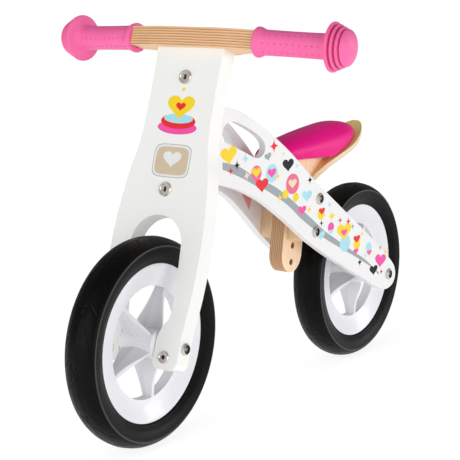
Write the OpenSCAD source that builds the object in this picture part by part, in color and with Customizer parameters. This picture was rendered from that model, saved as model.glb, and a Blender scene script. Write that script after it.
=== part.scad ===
// Child's balance bike with a leaning fork board, splayed side panels and 12 inch wheels.
// Front is -Y, the rider's left is +X, +Z is up. The origin is on the ground, midway between
// the wheels, on the bike's centre plane.

/* [Wheels] */
// Distance between the two axles
wheelbase = 580; // [575:1:590]
// Outside diameter of the tyres
wheel_d = 300; // [296:1:302]
// Width of the tyres
tyre_w = 52; // [50:1:54]
// Radius at which the tyre meets the rim's edge
rim_r = 113; // [112:0.5:114]
// Width of the rim over its edges
rim_w = 35; // [34:0.5:36]
// Width over the two hub ends
hub_w = 59; // [58:0.5:60]

/* [Fork and handlebar] */
// Lean of the fork board and of the steering axis from upright, in degrees
lean = 18.3; // [17.5:0.1:19]
// Thickness of the fork board
fork_t = 28; // [27:0.5:29]
// Distance of the steering axis behind the fork board's centre plane
pivot_back = 36; // [36:0.5:38]
// Height of the handlebar board's underside along the fork, from the front axle
bar_low = 421.4; // [420:0.5:424]
// Thickness of the handlebar board
bar_t = 27; // [26.8:0.1:28]
// Sweep of the handlebar's ends to the rear, in degrees
bar_sweep = 6.6; // [6:0.1:7]
// Length of a grip from its inner end to the tip of its dome
grip_len = 147; // [144:1:150]

/* [Frame] */
// Angle of each side panel to the centre plane, in degrees
splay = 7.3; // [7.2:0.05:7.4]
// Outside half width of the frame at the lower seat bolt
panel_x = 53; // [52.5:0.5:54]
// Thickness of the side panels
panel_t = 12; // [11.5:0.5:12.5]

/* [Seat] */
// Thickness of the seat post
post_t = 24; // [23:0.5:24.5]
// Distance between neighbouring holes of the seat post
hole_pitch = 26.4; // [26:0.1:26.6]
// Thickness of the bent seat shell
shell_t = 8; // [8:0.5:11]

/* [Hidden] */
$fn = 96;
wheel_r = wheel_d / 2;
front_y = -wheelbase / 2;
rear_y = wheelbase / 2;
fork_back = fork_t / 2;
head_top = 350;
head_low = 240;
pin_r = 4;
run = 0.05;
fit = 0.1;
bar_mid = bar_low + bar_t / 2;
// Lower seat bolt, where the post's own frame starts
bolt_y = 91;
bolt_z = 252;
post_lean = 10;
// Inner face of a side panel at a given Y
function inner_x(y) = panel_x - panel_t / cos(splay) + (y - bolt_y) * tan(splay);
function outer_x(y) = panel_x + (y - bolt_y) * tan(splay);
// Smooth closed or open curve through a list of points
function wrap(p, i) = p[(i + len(p)) % len(p)];
function blend(a, b, c, d, t) = 0.5 * (2 * b + (c - a) * t + (2 * a - 5 * b + 4 * c - d) * t * t
    + (3 * b - a - 3 * c + d) * t * t * t);
function smooth(p, n) = [for (i = [0 : len(p) - 1], k = [0 : n - 1])
    blend(wrap(p, i - 1), wrap(p, i), wrap(p, i + 1), wrap(p, i + 2), k / n)];
function clamp_at(p, i) = p[max(0, min(len(p) - 1, i))];
function curve(p, n) = concat([for (i = [0 : len(p) - 2], k = [0 : n - 1])
    blend(clamp_at(p, i - 1), p[i], p[i + 1], clamp_at(p, i + 2), k / n)], [p[len(p) - 1]]);
function flip(p) = [for (i = [len(p) - 1 : -1 : 0]) [-p[i][0], p[i][1]]];
// Corner of a polygon rounded by an arc of radius r
function unit(v) = v / norm(v);
function corner(a, b, c, r, n) = let (u = unit(a - b), v = unit(c - b), h = acos(u * v) / 2,
    m = b + unit(u + v) * r / sin(h), s = b + u * r / tan(h) - m, e = b + v * r / tan(h) - m,
    g = 180 - 2 * h, w = (s[0] * e[1] - s[1] * e[0]) > 0 ? 1 : -1)
    [for (k = [0 : n]) m + [s[0] * cos(w * g * k / n) - s[1] * sin(w * g * k / n),
    s[0] * sin(w * g * k / n) + s[1] * cos(w * g * k / n)]];
function rounded(p, r, n) = [for (i = [0 : len(p) - 1]) each
    corner(wrap(p, i - 1), wrap(p, i), wrap(p, i + 1), r[i], n)];

// Fork frame: origin at the front axle, +Z up along the fork, +Y out of its back
module on_fork() {
    translate([0, front_y, wheel_r]) rotate([-lean, 0, 0]) children();
}

// Post frame: origin at the lower seat bolt, +Z up along the post, +Y out of its back
module on_post() {
    translate([0, bolt_y, bolt_z]) rotate([-post_lean, 0, 0]) children();
}

// Plate drawn in the Y-Z plane and centred on the middle plane
module plate(t) {
    rotate([90, 0, 90]) linear_extrude(t, center = true) children();
}

// Bar along X from x0 to x1
module rod(r, x0, x1) {
    translate([x0, 0, 0]) rotate([0, 90, 0]) cylinder(r = r, h = x1 - x0);
}

// Two copies mirrored across the centre plane
module both_sides() {
    children();
    mirror([1, 0, 0]) children();
}

// Flat cap head with a dished face and a hexagon socket, its seat on the X-Y plane, face up
module cap_head(r, h, hex) {
    difference() {
        rotate_extrude() polygon([[0, 0], [r, 0], [r, h * 0.5], [r - h * 0.4, h],
            [r * 0.74, h], [r * 0.66, h * 0.6], [0, h * 0.6]]);
        translate([0, 0, h * 0.25]) cylinder(r = hex, h = h, $fn = 6);
    }
}

// Cross bolt along X: head outside x1, shank towards -X with a round tip at x0
module cross_bolt(r, head_r, head_h, x0, x1) {
    rod(r, x0, x1 + 0.5);
    translate([x1, 0, 0]) rotate([0, 90, 0]) cap_head(head_r, head_h, 3);
}

// Sleeve nut for a cross bolt: cap outside x0 on the -X side, sleeve towards +X
module sleeve_nut(r, sleeve_r, head_r, head_h, x0, len) {
    difference() {
        union() {
            rod(sleeve_r, x0 - 0.5, x0 + len);
            translate([x0, 0, 0]) rotate([0, -90, 0]) cap_head(head_r, head_h, 3);
        }
        rod(r, x0 + 1, x0 + len + 1);
    }
}

// ---- Wheels ----

// Half section of the wheel's side face, as [distance from the middle plane, radius]
function side_face(d) = [[hub_w / 2, 14], [hub_w / 2 - d * 0.2, 16], [24 - d, 27], [18.5 - d, 40],
    [14 - d, 52], [10.5 - d, 64], [8.5 - d, 76], [8.5 - d, 82]];

module wheel_body(d, r_max) {
    half = [for (p = side_face(d)) if (p[1] <= r_max) p];
    ring = concat([[hub_w / 2, 11 + fit]], half);
    rotate([0, 90, 0]) rotate_extrude() polygon(concat(
        [for (p = ring) [p[1], p[0]]],
        [for (i = [len(ring) - 1 : -1 : 0]) [ring[i][1], -ring[i][0]]]));
}

// Spoke: a blade from the hub to the rim, with a narrow ridge at each face and its full
// thickness in the middle plane, where the mould parts
module spoke() {
    function section(r, edge, foot) = let (x = 29.4 - 0.2424 * r)
        [[-edge, x], [edge, x], [foot, 0], [edge, -x], [-edge, -x], [-foot, 0]];
    module blade(r, edge, foot)
        translate([r, 0, 0]) rotate([90, 0, 90]) linear_extrude(0.01) polygon(section(r, edge, foot));
    hull() { blade(8, 1.4, 7.4); blade(84, 2.2, 5.0); }
}

// Spoked wheel body; turn sets where its spokes stand
module rim(turn) {
    difference() {
        union() {
            intersection() {
                wheel_body(0, 90);
                union() {
                    rotate([90, 0, 90]) for (k = [0 : 4]) rotate(132 + turn + 72 * k) spoke();
                    rod(21, -40, 40);
                }
            }
            // Rim with its conical side faces and the well the tyre sits in
            rotate([0, 90, 0]) rotate_extrude() polygon([[81, -8.6], [88, -10.2],
                [100, -14], [rim_r - 3, -rim_w / 2], [rim_r, -rim_w / 2], [rim_r, -rim_w / 2 + 2.2],
                [104, -rim_w / 2 + 3.6], [104, rim_w / 2 - 3.6], [rim_r, rim_w / 2 - 2.2],
                [rim_r, rim_w / 2], [rim_r - 3, rim_w / 2], [100, 14], [88, 10.2], [81, 8.6]]);
        }
        rod(7, -40, 40);
        both_sides() rod(11 + fit, hub_w / 2 - 7.2, 40);
    }
}

module tyre() {
    s = tyre_w / 2;
    top = [[s, wheel_r - 10.5], [s * 0.86, wheel_r - 7.4], [s * 0.66, wheel_r - 4.2],
        [s * 0.4, wheel_r - 1.5], [0, wheel_r]];
    side = [[rim_w / 2 - 3.7, 104.1], [rim_w / 2 - 2.3, rim_r + 0.1], [rim_w / 2, rim_r + 0.1],
        [s - 5.6, 118], [s - 2.9, 124], [s - 1.3, 130], [s - 0.4, 135]];
    half = concat(side, curve(top, 4));
    rotate([0, 90, 0]) rotate_extrude($fn = 144) polygon(concat(
        [for (p = half) [p[1], -p[0]]],
        [for (i = [len(half) - 2 : -1 : 0]) [half[i][1], half[i][0]]]));
}

// Pair of ball bearings, each with a groove between its rings
module bearings() {
    both_sides() translate([hub_w / 2 - 7.1, 0, 0]) rotate([0, 90, 0]) rotate_extrude() polygon([
        [pin_r + run, 0], [6.2, 0], [6.4, 0.5], [9, 0.5], [9.2, 0], [11, 0], [11, 7], [9.2, 7],
        [9, 6.5], [6.4, 6.5], [6.2, 7], [pin_r + run, 7]]);
}

module rear_wheel_at() {
    translate([0, rear_y, wheel_r]) children();
}

module front_rim() { color([0.95, 0.95, 0.97]) on_fork() rim(lean); }
module front_tyre() { color([0.06, 0.06, 0.06]) on_fork() tyre(); }
module front_bearings() { color([0.7, 0.7, 0.72]) on_fork() bearings(); }
module rear_rim() { color([0.95, 0.95, 0.97]) rear_wheel_at() rim(0); }
module rear_tyre() { color([0.06, 0.06, 0.06]) rear_wheel_at() tyre(); }
module rear_bearings() { color([0.7, 0.7, 0.72]) rear_wheel_at() bearings(); }

// ---- Fork, handlebar and grips ----

// Right half of the fork board's outline, as [X, height along the fork]
fork_side = [[57.5, bar_low], [56.2, 385], [56.4, 340], [57.6, 300], [61.5, 268], [68.5, 236],
    [74.6, 190], [77.4, 149], [78, 110], [77, 75], [74.4, 43], [71.8, 16]];
fork_foot = corner([71.5, 0], [71.5, -33], [50, -33], 13, 8);
fork_toe = corner([50, -33], [30.6, -33], [30.6, 0], 10, 8);
leg_inside = [[30.6, 4], [32.2, 14], [37, 25], [44.5, 36], [47.6, 50], [47.4, 75], [46, 105],
    [44.8, 125]];
arch = [for (a = [10 : 10 : 170]) [44.2 * cos(a), 136 + 43.6 * sin(a)]];
bolt_high = 378;
bolt_mid = 216;

module fork_outline() {
    half = concat(curve(fork_side, 5), [[71.5, 13]], fork_foot, fork_toe, curve(leg_inside, 4));
    polygon(concat(half, arch, flip(half)));
}

module fork_board() {
    color([0.96, 0.96, 0.95]) on_fork() difference() {
        rotate([90, 0, 0]) linear_extrude(fork_t, center = true) fork_outline();
        // Holes for the bracket bolts, the leg bolts, the axle and the handlebar screws
        for (z = [bolt_mid, bolt_high]) translate([0, 0, z]) rotate([90, 0, 0])
            cylinder(r = 4 + fit, h = 60, center = true);
        for (x = [-48.3, 48.3]) translate([x, 0, -16]) rotate([90, 0, 0])
            cylinder(r = 3 + fit, h = 60, center = true);
        rod(pin_r + fit, -90, 90);
        rod(5 + fit, -90, -62);
        for (x = [-30, 30]) translate([x, 0, bar_low - 38]) cylinder(r = 3 + fit, h = 60);
    }
}

// Handlebar board in plan, right half, as [X, Y]; the front is -Y
bar_front = [[0, -25.2], [30, -25.2], [55, -24.8], [75, -23], [97, -20.6], [105.5, -19.7]];
bar_rear = [[102, 9.2], [97, 9.4], [84, 11.5], [72, 16], [62, 21.5], [50, 24], [0, 24.6]];
bar_c = [96, -5.6];

module swept_end() {
    translate([bar_c[0], bar_c[1], bar_mid]) rotate([0, 0, bar_sweep]) rotate([0, 90, 0])
        children();
}

module handlebar() {
    color([0.86, 0.68, 0.45]) on_fork() difference() {
        union() {
            translate([0, 0, bar_low]) linear_extrude(bar_t) {
                half = concat(curve(bar_front, 4), curve(bar_rear, 4));
                polygon(concat(half, flip(half)));
            }
            both_sides() swept_end() cylinder(r = 13.4, h = 142);
        }
        for (x = [-30, 30]) translate([x, 0, bar_low - 1]) {
            cylinder(r = 3 + fit, h = 60);
            translate([0, 0, bar_t - 2]) cylinder(r = 7 + fit, h = 10);
        }
    }
}

// Two long screws through the handlebar into the top of the fork board
module handlebar_screws() {
    color([0.72, 0.71, 0.69]) on_fork() for (x = [-30, 30]) translate([x, 0, 0]) {
        translate([0, 0, bar_low - 36]) cylinder(r = 3, h = 36 + bar_t - 2.5);
        translate([0, 0, bar_low + bar_t - 3]) cap_head(7, 2.8, 2.5);
    }
}

// Grip in its own frame: inner end at 0, dome tip at grip_len
module grip() {
    rotate_extrude() polygon(concat(
        [[13.45, 0], [19.6, 0], [21, 0.8], [21.6, 2.4], [21.4, 5], [20, 8.6], [18.3, 12],
        [17.9, 16], [17.6, 60], [17.9, 104], [18.4, 107], [21, 109.6], [27, 112], [33.2, 114],
        [34.2, 115], [34.4, 116.6], [34, 117.8], [32, 118.6], [30.2, 118.9], [30.4, 121],
        [31.2, 122.2], [31.3, 123.4], [30.8, 124.6], [29, 125.4], [27.4, 125.6], [27.6, 127.6],
        [28.3, 128.7], [28.4, 129.9], [27.9, 131], [26.4, 131.6], [25.2, 131.8], [25.3, 133.6]],
        [for (a = [10 : 10 : 80]) [25.5 * cos(a), 134 + (grip_len - 134) * sin(a)]],
        [[0, grip_len], [0, grip_len - 9], [13.45, grip_len - 9]]));
}

module grip_place() {
    on_fork() swept_end() translate([0, 0, 8.1]) children();
}

module grip_left() { color([0.95, 0.33, 0.62]) grip_place() grip(); }
module grip_right() { color([0.95, 0.33, 0.62]) mirror([1, 0, 0]) grip_place() grip(); }

// Bolts that hold the two steering brackets to the fork board
module fork_bolts() {
    color([0.78, 0.76, 0.73]) on_fork() for (z = [bolt_mid, bolt_high])
        translate([0, -fork_back, z]) rotate([90, 0, 0]) {
            cap_head(10.5, 2.6, 4.2);
            translate([0, 0, -fork_t - 9.5]) cylinder(r = 4, h = fork_t + 10);
        }
}

module fork_bolt_nuts() {
    color([0.62, 0.62, 0.63]) on_fork() for (z = [bolt_mid, bolt_high])
        translate([0, fork_back + 3.2, z]) rotate([-90, 0, 0]) difference() {
            cylinder(r = 7.2, h = 6, $fn = 6);
            translate([0, 0, -1]) cylinder(r = 4 + run, h = 8);
        }
}

// Steel angle: one leg on the back of the fork, one round the steering pin
module bracket(z_tab, z_plate) {
    low = min(z_tab, z_plate - 17);
    high = max(z_tab + 3, z_plate + 17);
    difference() {
        union() {
            translate([-17, fork_back + 0.1, low]) cube([34, 3, high - low]);
            translate([0, 0, z_tab]) {
                translate([-17, fork_back + 0.1, 0]) cube([34, pivot_back - fork_back, 3]);
                translate([0, pivot_back, 0]) cylinder(r = 17, h = 3);
            }
        }
        translate([0, pivot_back, z_tab - 1]) cylinder(r = pin_r + run, h = 5);
        translate([0, fork_back, z_plate]) rotate([-90, 0, 0])
            translate([0, 0, -1]) cylinder(r = 4 + fit, h = 8);
    }
}

module upper_bracket() {
    color([0.35, 0.35, 0.36]) on_fork() bracket(head_top + 2.2, bolt_high);
}

module lower_bracket() {
    color([0.35, 0.35, 0.36]) on_fork() bracket(head_low - 5.2, bolt_mid);
}

// Long bolt the frame's head turns on
module steering_pin() {
    color([0.72, 0.71, 0.69]) on_fork() translate([0, pivot_back, 0]) {
        translate([0, 0, head_low - 15]) cylinder(r = pin_r, h = head_top - head_low + 20.3);
        translate([0, 0, head_top + 5.2]) cap_head(8, 5, 3);
    }
}

module steering_pin_nut() {
    color([0.62, 0.62, 0.63]) on_fork() translate([0, pivot_back, head_low - 12.4]) difference() {
        cylinder(r = 7.2, h = 7.1, $fn = 6);
        translate([0, 0, -1]) cylinder(r = pin_r + run, h = 9);
    }
}

// Bolts through the feet of the fork board, below the axle
module leg_bolts() {
    color([0.78, 0.76, 0.73]) on_fork() for (x = [-48.3, 48.3])
        translate([x, -fork_back, -16]) rotate([90, 0, 0]) {
            cap_head(8.8, 2.4, 3.4);
            translate([0, 0, -fork_t - 4.5]) cylinder(r = 3, h = fork_t + 5);
        }
}

module leg_bolt_nuts() {
    color([0.62, 0.62, 0.63]) on_fork() for (x = [-48.3, 48.3])
        translate([x, fork_back + 0.05, -16]) rotate([-90, 0, 0]) difference() {
            cylinder(r = 6.2, h = 5, $fn = 6);
            translate([0, 0, -1]) cylinder(r = 3 + run, h = 7);
        }
}

module front_axle() {
    color([0.78, 0.76, 0.73]) on_fork() cross_bolt(pin_r, 8.5, 4, -69, 71.55);
}

module front_axle_nut() {
    color([0.78, 0.76, 0.73]) on_fork() sleeve_nut(pin_r + run, 5, 8.5, 4, -71.55, 8);
}

module front_axle_spacers() {
    color([0.62, 0.62, 0.63]) on_fork() both_sides() difference() {
        rod(7, hub_w / 2 + 0.1, 30.5);
        rod(pin_r + run, 20, 40);
    }
}

// ---- Frame ----

// Outline of a side panel as [distance back from the lower seat bolt, height]
panel_rim = [[-222, 468.8], [-207, 465.2], [-181, 457.2], [-146, 439.5], [-112, 418.5],
    [-66, 386], [-12, 341], [35, 305], [89, 265], [144, 224], [190, 187], [206, 173],
    [216.5, 160], [219, 145], [212, 132], [198, 126], [183, 126.8], [164, 134],
    [136, 150], [81, 180], [27, 210], [-25, 243], [-74, 279], [-122, 311], [-145, 323.5],
    [-179, 339], [-208, 348.5], [-235, 355.5]];
panel_nose = [[-258.5, 361.2], [-240, 415]];
hand_hole = [[-222, 428], [-218, 438.5], [-206, 443.8], [-192, 442.6], [-170, 434], [-140, 418],
    [-127, 405], [-126, 394], [-134, 386.2], [-148, 385.6], [-168, 394.5], [-190, 404.5],
    [-210, 412.5], [-219, 418]];

module panel_at() {
    translate([panel_x, bolt_y, 0]) rotate([0, 0, -splay]) rotate([90, 0, 90])
        translate([0, 0, -panel_t]) children();
}

// Flat seat for a cross bolt's head in the slanting face of a side panel
module spot(y, z, r) {
    translate([0, y, z]) rod(r + 0.5, outer_x(y) - r * tan(splay) - 0.2, outer_x(y) + 20);
}

function seat_bolt_at(k) = [bolt_y + 2 * hole_pitch * k * sin(post_lean),
    bolt_z + 2 * hole_pitch * k * cos(post_lean)];
head_bolt_z = [258, 286];
function head_bolt_at(k) = [front_y + head_bolt_z[k] * sin(lean) + 58 * cos(lean),
    wheel_r + head_bolt_z[k] * cos(lean) - 58 * sin(lean)];

module side_panel() {
    difference() {
        panel_at() linear_extrude(panel_t) difference() {
            polygon(concat(curve(panel_rim, 4), panel_nose));
            polygon(smooth(hand_hole, 4));
        }
        // Nothing reaches forward of the head block's shoulder
        on_fork() translate([-50, -100, 200]) cube([200, 150.05, 200]);
        for (k = [0, 1]) {
            p = seat_bolt_at(k);
            translate([0, p[0], p[1]]) rod(5 + fit, 10, 90);
            spot(p[0], p[1], 9);
            h = head_bolt_at(k);
            translate([0, h[0], h[1]]) rod(4 + fit, 0, 90);
            spot(h[0], h[1], 6);
        }
        translate([0, rear_y, wheel_r]) rod(5 + fit, 10, 120);
        spot(rear_y, wheel_r, 9);
    }
}

module side_panel_left() { color([0.97, 0.97, 0.97]) side_panel(); }
module side_panel_right() { color([0.97, 0.97, 0.97]) mirror([1, 0, 0]) side_panel(); }

// Block between the panels' front ends; its nose holds the steering bushes
module head_block() {
    color([0.95, 0.95, 0.94]) difference() {
        on_fork() union() {
            translate([0, pivot_back, head_low]) cylinder(r = 17, h = head_top - head_low);
            translate([-17, pivot_back, head_low]) cube([34, 14, head_top - head_low]);
            intersection() {
                plate(60) polygon([[50, head_low], [50, head_top], [60, head_top], [60, 297],
                    [100, 297], [104, 245], [80, head_low + 1.5]]);
                rotate([lean, 0, 0]) translate([0, -front_y, -wheel_r])
                    linear_extrude(600) polygon([
                        [-inner_x(front_y + 90) + 0.1, front_y + 90],
                        [inner_x(front_y + 90) - 0.1, front_y + 90],
                        [inner_x(front_y + 250) - 0.1, front_y + 250],
                        [-inner_x(front_y + 250) + 0.1, front_y + 250]]);
            }
        }
        on_fork() translate([0, pivot_back, 200]) cylinder(r = pin_r + 1, h = 200);
        on_fork() for (z = [head_low - 1, head_top - 16])
            translate([0, pivot_back, z]) cylinder(r = 7.02, h = 17);
        for (k = [0, 1]) {
            h = head_bolt_at(k);
            translate([0, h[0], h[1]]) rod(4 + fit, -60, 60);
        }
    }
}

// Flanged bushes at the two ends of the head block
module head_bushes() {
    color([0.15, 0.15, 0.16]) on_fork() translate([0, pivot_back, 0])
        for (s = [0, 1]) translate([0, 0, s ? head_top : head_low]) mirror([0, 0, s ? 0 : 1])
            difference() {
                union() {
                    translate([0, 0, -15.9]) cylinder(r = 7, h = 16);
                    translate([0, 0, 0.02]) cylinder(r = 12, h = 2);
                }
                translate([0, 0, -20]) cylinder(r = pin_r + run, h = 30);
            }
}

// Half width at which a cross bolt's head rests in its flat seat
function seat_x(y, r) = outer_x(y) - r * tan(splay) - 0.15;

module head_bolts() {
    color([0.78, 0.76, 0.73]) for (k = [0, 1]) {
        h = head_bolt_at(k);
        translate([0, h[0], h[1]]) cross_bolt(2.9, 5.5, 3.5, -seat_x(h[0], 6) + 2,
            seat_x(h[0], 6));
    }
}

module head_bolt_nuts() {
    color([0.78, 0.76, 0.73]) for (k = [0, 1]) {
        h = head_bolt_at(k);
        translate([0, h[0], h[1]]) sleeve_nut(3, 4, 5.5, 3.5, -seat_x(h[0], 6), 14);
    }
}

module seat_bolts() {
    color([0.78, 0.76, 0.73]) for (k = [0, 1]) {
        p = seat_bolt_at(k);
        translate([0, p[0], p[1]]) cross_bolt(3.9, 9, 4, -seat_x(p[0], 9) + 14,
            seat_x(p[0], 9));
    }
}

module seat_bolt_nuts() {
    color([0.78, 0.76, 0.73]) for (k = [0, 1]) {
        p = seat_bolt_at(k);
        translate([0, p[0], p[1]]) sleeve_nut(4, 5, 9, 4, -seat_x(p[0], 9), 28);
    }
}

// Wedge-shaped block between the seat post and a side panel
module spacer() {
    difference() {
        intersection() {
            on_post() plate(200) polygon(rounded([[-20, -17], [20, -17], [20, 70], [-20, 70]],
                [3, 3, 3, 3], 3));
            linear_extrude(600) polygon([[post_t / 2 + 0.05, 0],
                [inner_x(0) - 0.05, 0],
                [inner_x(200) - 0.05, 200],
                [post_t / 2 + 0.05, 200]]);
        }
        for (k = [0, 1]) {
            p = seat_bolt_at(k);
            translate([0, p[0], p[1]]) rod(5 + fit, 0, 90);
        }
    }
}

module spacer_left() { color([0.90, 0.76, 0.55]) spacer(); }
module spacer_right() { color([0.90, 0.76, 0.55]) mirror([1, 0, 0]) spacer(); }

// ---- Seat ----

// Upper face of the bent seat shell, as [Y, Z]
shell_top = [[134, 326], [146, 335.5], [158, 344], [172, 352.6], [190, 360.5], [212, 368],
    [238, 376.6], [264, 386], [288, 396], [308, 406]];
function under(p, i) = let (t = unit(clamp_at(p, i + 1) - clamp_at(p, i - 1)))
    p[i] + shell_t * [t[1], -t[0]];
shell_line = curve(shell_top, 4);
shell_low = [for (i = [len(shell_line) - 1 : -1 : 0]) under(shell_line, i)];
function lowered(p, d) = [for (q = p) q - [0, d]];
// Underside of the flat board in the pad, which the post carries
board_under = [[45, 366.4], [100, 364.8], [150, 361.4], [186, 358.8]];

// Side outline of the seat post: round foot, flared top cut to the shell and the board
function post_point(y, z) = [bolt_y + y * cos(post_lean) + z * sin(post_lean),
    bolt_z - y * sin(post_lean) + z * cos(post_lean)];
post_outline = concat([for (a = [180 : 6 : 360]) post_point(29.5 * cos(a), 29.5 * sin(a) - 40)],
    [[134, 326.1]], [for (p = shell_line) if (p[0] > 135 && p[0] < 177) p + [0, 0.05]],
    [[178, 355.6], [178, 359.3], [150, 361.35], [100, 364.75], post_point(-29.5, 109.8)]);

// Seat post with two bolted holes and three free ones
module seat_post() {
    color([0.88, 0.73, 0.52]) difference() {
        plate(post_t) polygon(post_outline);
        on_post() for (k = [-2 : 2]) translate([0, 0, k * hole_pitch])
            rod(5 + fit, -30, 30);
        screw_holes();
    }
}

// Half width of the shell along its length, seen from above, as [X, Y]
shell_plan = [[12, 127], [16, 140], [22, 154], [29, 172], [34.5, 192], [37.6, 216], [37.4, 240],
    [33, 262], [26, 282], [17, 298], [8, 306.6], [0, 309]];

module seat_shell() {
    color([0.90, 0.72, 0.48]) difference() {
        intersection() {
            plate(200) polygon(concat(shell_line, shell_low));
            linear_extrude(600) {
                half = curve(shell_plan, 4);
                polygon(concat(half, flip(half)));
            }
        }
        on_post() plate(60) polygon([[-60, 0], [29.55, 0], [29.55, 84], [-60, 84]]);
        screw_holes();
    }
}

// Flat board the pad is upholstered on, cut at the rear to the shell's upper face
module seat_board() {
    color([0.88, 0.73, 0.52]) difference() {
        intersection() {
            plate(60) polygon(concat(board_under, [[200, 357.8], [200, 366], [186, 366.8],
                [150, 369.4], [100, 372.8], [47, 374.4]]));
            linear_extrude(600) polygon(concat([[-15, 44], [15, 44]],
                curve([[22, 50], [25, 80], [27, 130], [27, 200]], 4),
                curve([[-27, 200], [-27, 130], [-25, 80], [-22, 50]], 4)));
        }
        plate(80) polygon(concat(lowered(shell_line, -0.05), [[330, 300], [134, 300]]));
    }
}

// Cushion: upper and lower outline from the side, and half width from above
pad_top = [[22, 377], [24, 387], [34, 393.5], [56, 399.6], [100, 406], [150, 411.3], [203, 415],
    [240, 413], [262, 407.8], [276, 400.8], [283, 395.6]];
pad_under = concat([for (i = [len(shell_line) - 1 : -1 : 0])
    if (shell_line[i][0] > 187 && shell_line[i][0] < 280) shell_line[i]],
    [[186, 359], [150, 361.4], [100, 364.8], [45, 366.4], [28, 369]]);
pad_plan = [[0, 21], [13, 23], [22, 33], [29, 56], [33.5, 100], [35.6, 150], [36.5, 190],
    [34.5, 230], [28, 252], [20, 267], [12, 277], [0, 283.5]];

module seat_pad() {
    color([0.85, 0.05, 0.47]) difference() {
        intersection() {
            plate(200) polygon(concat(curve(pad_top, 4), lowered(pad_under, -0.3)));
            linear_extrude(600) {
                half = curve(pad_plan, 4);
                polygon(concat(half, flip(half)));
            }
            // Crowned top, rising towards the rear
            translate([0, 56, 399.8 - 58]) rotate([5.6, 0, 0]) rotate([90, 0, 0])
                cylinder(r = 58, h = 600, center = true);
        }
        // Room for the board
        plate(54.6) polygon([[43.7, 300], [43.7, 374.9], [100, 373.1], [150, 369.7],
            [186, 367.1], [201, 366.3], [201, 300]]);
    }
}

// Screws up through the shell into the flared top of the post
module at_screws() {
    for (p = [[152, 339.6], [168, 350.2]]) translate([0, p[0], p[1]]) rotate([34, 0, 0])
        translate([0, 0, -shell_t]) children();
}

module screw_holes() {
    at_screws() {
        cylinder(r = 2.05, h = shell_t + 9.1);
        translate([0, 0, -8]) cylinder(r = 4.5, h = 8.35);
    }
}

module seat_screws() {
    color([0.62, 0.62, 0.63]) at_screws() {
        translate([0, 0, -1.9]) cylinder(r1 = 3.6, r2 = 4.4, h = 2.2);
        cylinder(r = 2, h = shell_t + 9);
    }
}

// ---- Rear wheel fixings ----

module rear_axle() {
    color([0.78, 0.76, 0.73]) rear_wheel_at()
        cross_bolt(pin_r, 9, 4, -seat_x(rear_y, 9) + 6, seat_x(rear_y, 9));
}

module rear_axle_nut() {
    color([0.78, 0.76, 0.73]) rear_wheel_at()
        sleeve_nut(pin_r + run, 5, 9, 4, -seat_x(rear_y, 9), 11.4);
}

module rear_axle_spacers() {
    color([0.62, 0.62, 0.63]) rear_wheel_at() both_sides() difference() {
        rod(8, hub_w / 2 + 0.1, inner_x(rear_y) - 8 * tan(splay) - 0.1);
        rod(pin_r + run, 20, 90);
    }
}

fork_board();
handlebar();
handlebar_screws();
grip_left();
grip_right();
fork_bolts();
fork_bolt_nuts();
upper_bracket();
lower_bracket();
steering_pin();
steering_pin_nut();
leg_bolts();
leg_bolt_nuts();
front_axle();
front_axle_nut();
front_axle_spacers();
front_rim();
front_tyre();
front_bearings();
head_block();
head_bushes();
head_bolts();
head_bolt_nuts();
side_panel_left();
side_panel_right();
seat_post();
spacer_left();
spacer_right();
seat_bolts();
seat_bolt_nuts();
seat_shell();
seat_board();
seat_pad();
seat_screws();
rear_axle();
rear_axle_nut();
rear_axle_spacers();
rear_rim();
rear_tyre();
rear_bearings();
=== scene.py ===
"""Looks of the balance bike: materials, tyres, grips, seat pad, stickers, light and camera.

Front is -Y, the rider's left is +X and +Z is up, in metres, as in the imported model.
"""

import math

import bmesh
import bpy
import numpy as np
from mathutils import Matrix, Vector


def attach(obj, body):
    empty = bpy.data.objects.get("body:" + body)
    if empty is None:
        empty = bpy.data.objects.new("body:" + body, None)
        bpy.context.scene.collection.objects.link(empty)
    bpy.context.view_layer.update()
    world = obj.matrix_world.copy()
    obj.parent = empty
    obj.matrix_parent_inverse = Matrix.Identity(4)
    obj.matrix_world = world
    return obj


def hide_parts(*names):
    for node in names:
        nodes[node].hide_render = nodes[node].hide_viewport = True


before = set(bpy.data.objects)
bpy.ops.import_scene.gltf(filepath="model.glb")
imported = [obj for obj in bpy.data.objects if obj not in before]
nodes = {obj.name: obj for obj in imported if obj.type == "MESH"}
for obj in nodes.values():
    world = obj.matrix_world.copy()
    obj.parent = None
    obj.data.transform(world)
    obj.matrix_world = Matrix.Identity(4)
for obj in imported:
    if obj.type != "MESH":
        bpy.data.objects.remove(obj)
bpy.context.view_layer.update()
MM = 0.001

# ---- Places of the bike, as in the CAD model ----

FRONT_Y, REAR_Y = -0.29, 0.29
AXLE_Z = 0.15
LEAN = math.radians(18.3)
SPLAY = math.radians(7.3)
FORK = Matrix.Translation((0, FRONT_Y, AXLE_Z)) @ Matrix.Rotation(-LEAN, 4, "X")
POST_LEAN = math.radians(10)
SEAT_BOLT = Vector((0, 0.091, 0.252))
TWO_HOLES = 0.0528
BAR_END = (
    FORK
    @ Matrix.Translation((0.096, -0.0056, 0.4349))
    @ Matrix.Rotation(math.radians(6.6), 4, "Z")
    @ Matrix.Rotation(math.radians(90), 4, "Y")
    @ Matrix.Translation((0, 0, 0.0081))
)
MIRROR = Matrix.Diagonal((-1, 1, 1, 1))

# ---- Camera ----

camera = bpy.data.objects.new("camera", bpy.data.cameras.new("camera"))
bpy.context.scene.collection.objects.link(camera)
camera.data.sensor_width = 36
camera.data.lens = 113.06
camera.data.clip_end = 50
camera.matrix_world = Matrix(
    (
        (0.82706, -0.10160, 0.55286, 1.2046),
        (0.56210, 0.15541, -0.81233, -1.8439),
        (-0.00339, 0.98261, 0.18564, 0.6800),
        (0, 0, 0, 1),
    )
)
bpy.context.scene.camera = camera


# ---- Materials ----


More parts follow.
